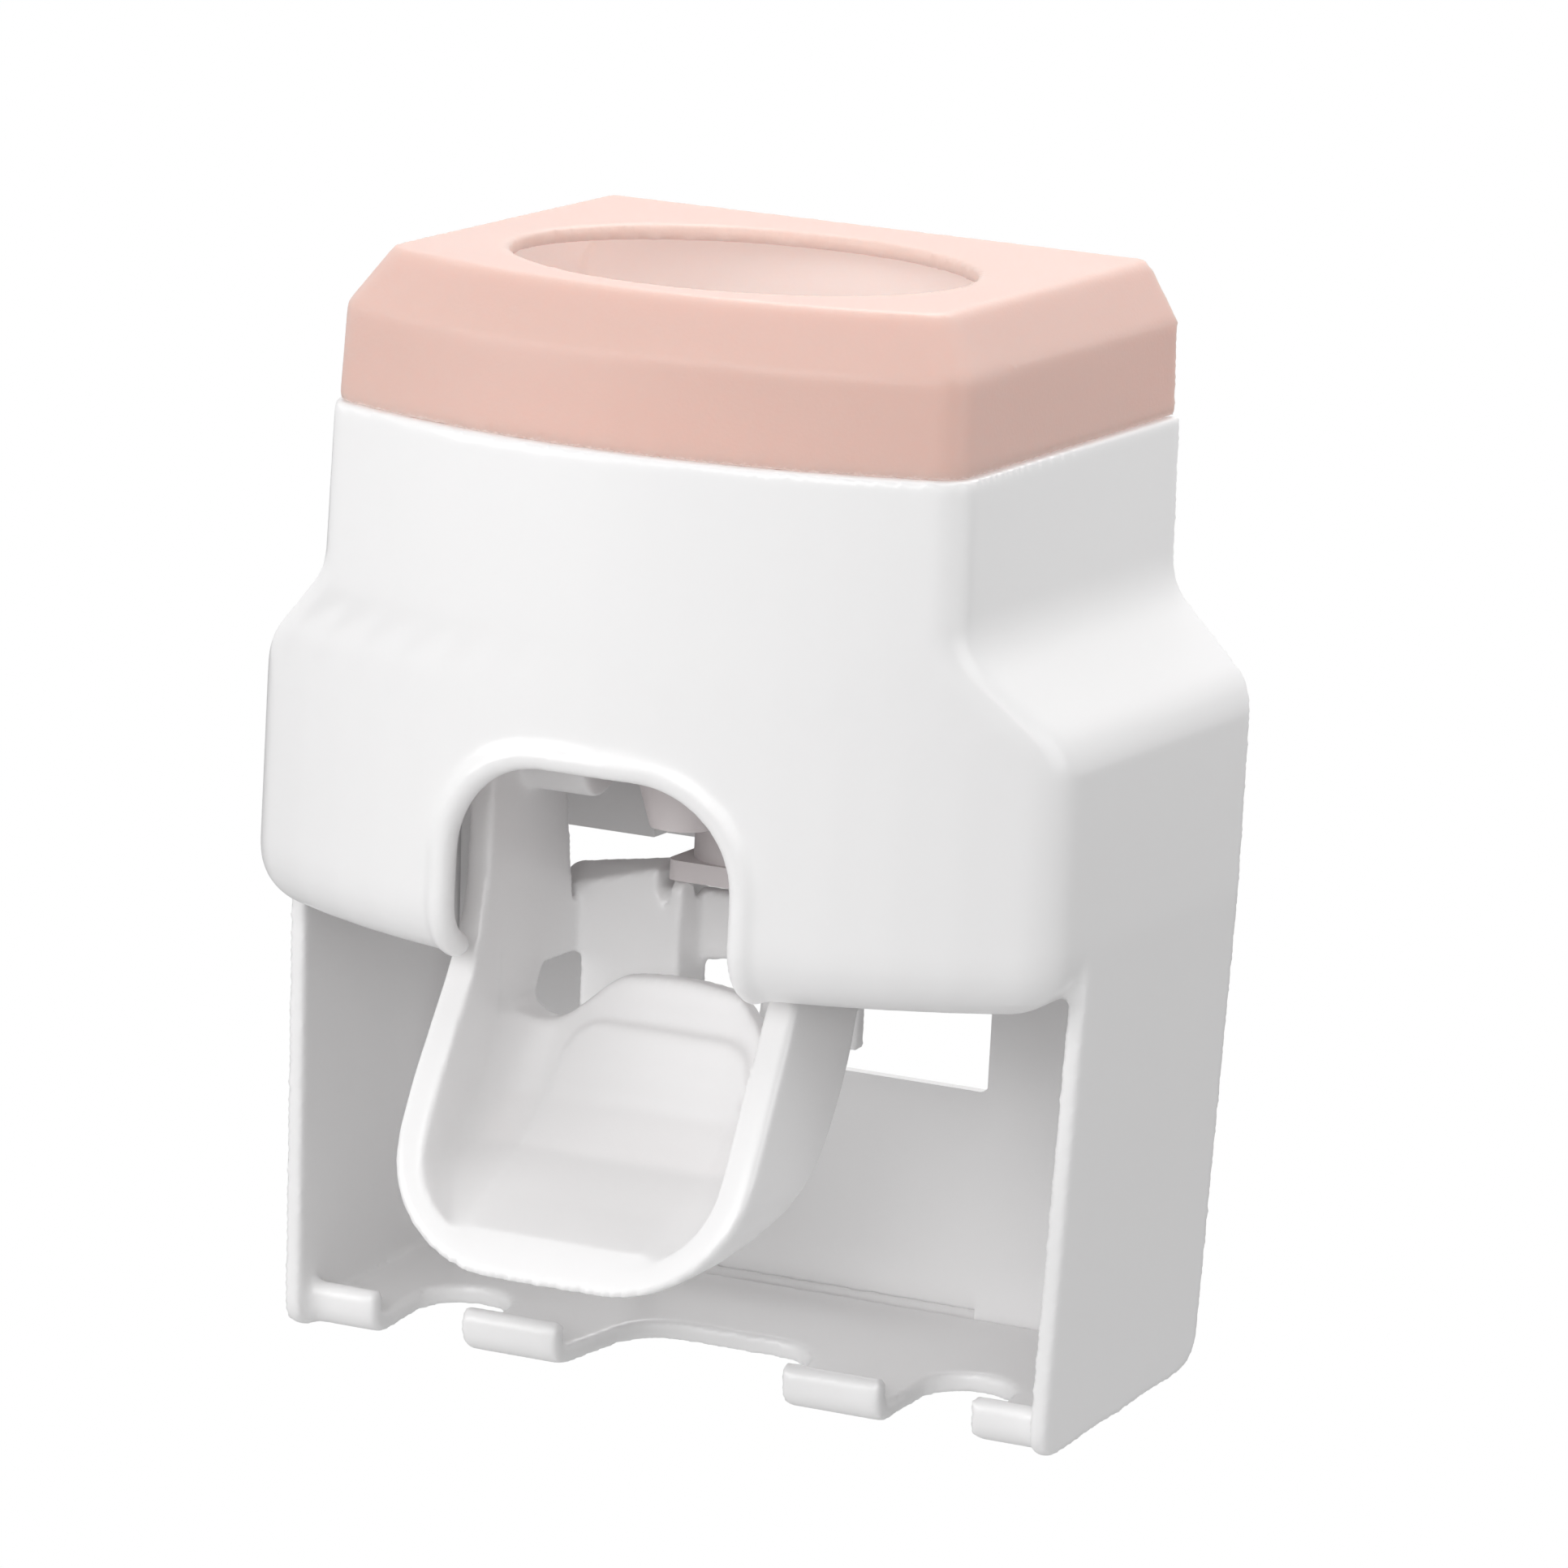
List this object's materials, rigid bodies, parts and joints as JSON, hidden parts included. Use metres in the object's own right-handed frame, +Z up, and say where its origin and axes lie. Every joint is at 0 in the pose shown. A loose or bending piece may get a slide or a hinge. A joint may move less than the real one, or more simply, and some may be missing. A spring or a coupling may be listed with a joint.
{
  "type": "toothpaste dispenser",
  "caption": "Wall-hung toothpaste dispenser with an oval tube opening in its lid, a push scoop under an arch, a hand-worked pump and a notched shelf for toothbrushes.",
  "frame": {"origin": "on the wall plane, in the middle from side to side, level with the underside of the shelf", "axes": "+X to the right seen from the front, +Y into the wall, +Z up"},
  "size_m": [0.116, 0.0844, 0.15],
  "materials": {
    "white_shell": "gloss",
    "pink_lid": "satin",
    "inner_plastic": "matte",
    "silicone": "matte",
    "steel": "brushed"
  },
  "bodies": {
    "housing": {"front_housing": "white_shell", "back_panel": "white_shell", "back_panel_screws": "steel", "pump_carrier": "inner_plastic", "carrier_screws": "steel", "pump_body": "inner_plastic", "pump_gasket": "silicone", "valve_cap": "inner_plastic", "cap_screws": "steel", "socket_seal": "silicone", "inlet_valve": "silicone", "return_spring": "steel", "outlet_nozzle": "inner_plastic", "outlet_valve": "silicone", "pivot_pins": "steel"},
    "lever": {"push_lever": "white_shell"},
    "piston": {"piston": "inner_plastic", "piston_seal": "silicone"},
    "lid": {"lid": "pink_lid"}
  },
  "joints": [
    {"name": "lever_swing", "type": "hinge", "parent": "housing", "child": "lever", "pos_m": [0, -0.051, 0.085], "axis": [1, 0, 0], "range_deg": [0, 12], "stiffness_Nm_per_rad": 0.139, "springref_deg": -6.3},
    {"name": "piston_slide", "type": "slide", "parent": "housing", "child": "piston", "axis": [0, 0, 1], "range_m": [0, 0.00385], "deforming": ["return_spring"]},
    {"name": "lid_lift", "type": "slide", "parent": "housing", "child": "lid", "axis": [0, 0, 1], "range_m": [0, 0.03]}
  ],
  "couplings": [
    {"joint": "piston_slide", "follows": "lever_swing", "m_per_rad": 0.0183}
  ]
}
